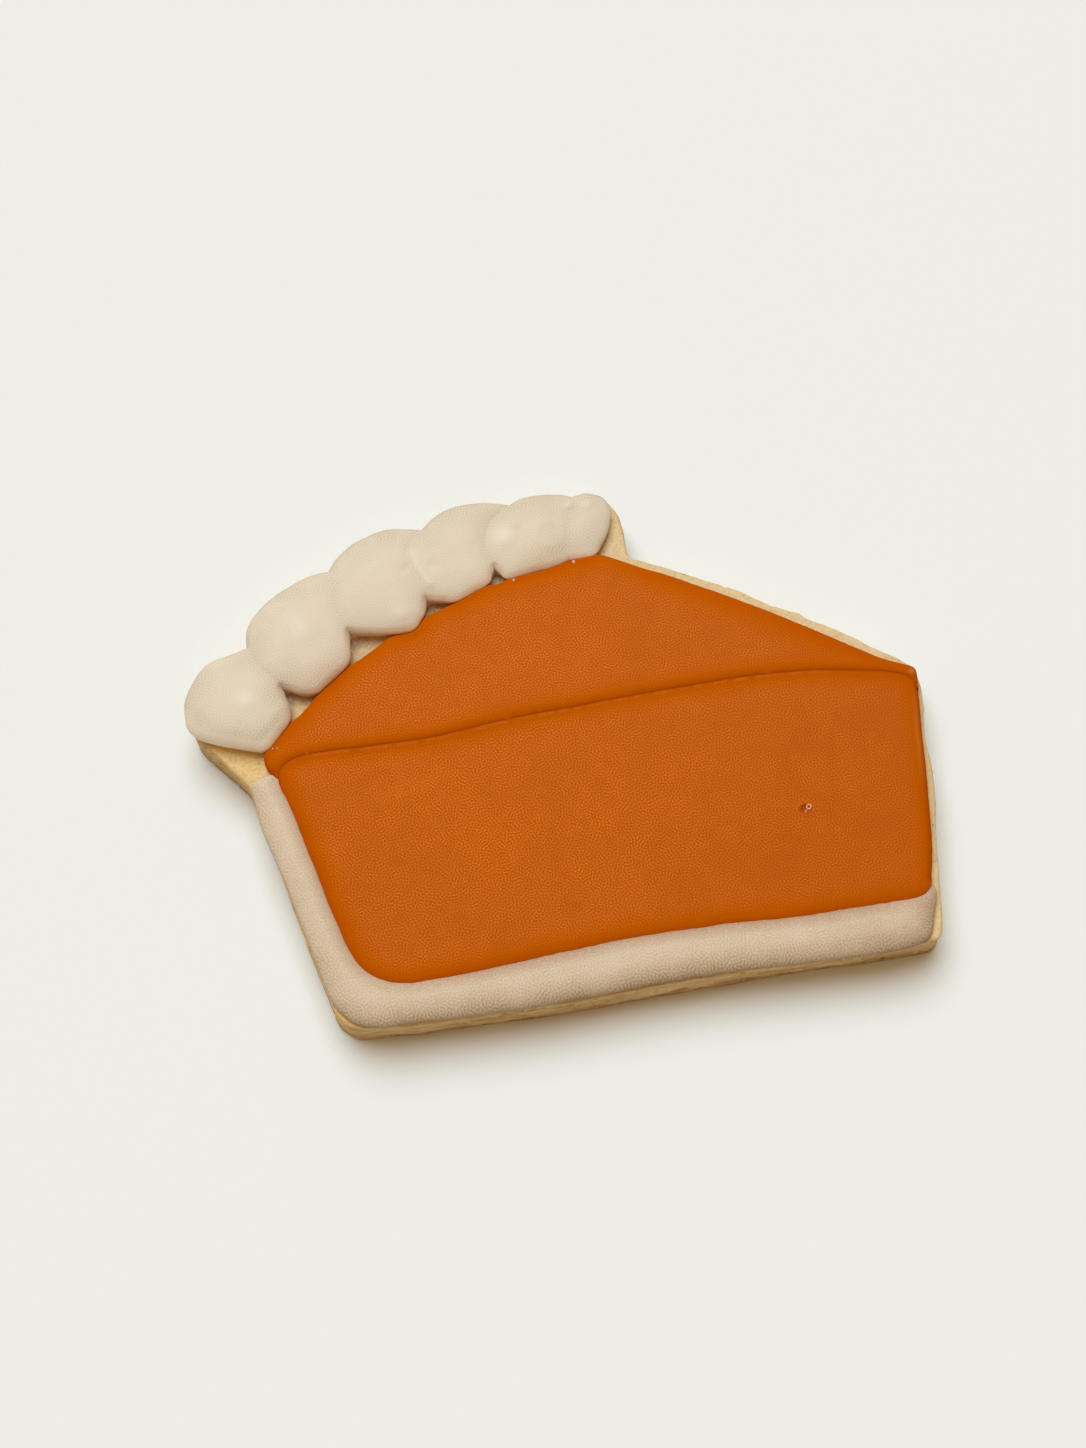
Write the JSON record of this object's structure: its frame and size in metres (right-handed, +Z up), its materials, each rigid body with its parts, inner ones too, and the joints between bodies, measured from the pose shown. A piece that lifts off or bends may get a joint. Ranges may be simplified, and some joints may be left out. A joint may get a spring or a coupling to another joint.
{
  "type": "iced sugar cookie",
  "caption": "Flat baked cookie cut as a slice of pie: orange iced panels, a beige iced crust border and a rim of piped cream puffs.",
  "frame": {"origin": "bottom centre of the bounding box, on the flat underside", "axes": "+X along the straight crust edge, +Y towards the rim of puffs, +Z up through the icing"},
  "size_m": [0.0971, 0.0688, 0.0103],
  "materials": {
    "baked_dough": "dry baked dough, pale gold, grainy with small pits",
    "orange_icing": "set royal icing, burnt orange, satin with a fine wrinkle",
    "beige_icing": "set royal icing, light tan, matt",
    "cream_icing": "set piped icing, cream, soft satin"
  },
  "bodies": {
    "root": {"biscuit": "baked_dough", "top_panel": "orange_icing", "cut_panel": "orange_icing", "crust_border": "beige_icing", "rim_puff_1": "cream_icing", "rim_puff_2": "cream_icing", "rim_puff_3": "cream_icing", "rim_puff_4": "cream_icing", "rim_puff_5": "cream_icing", "rim_puff_6": "cream_icing"}
  },
  "joints": []
}
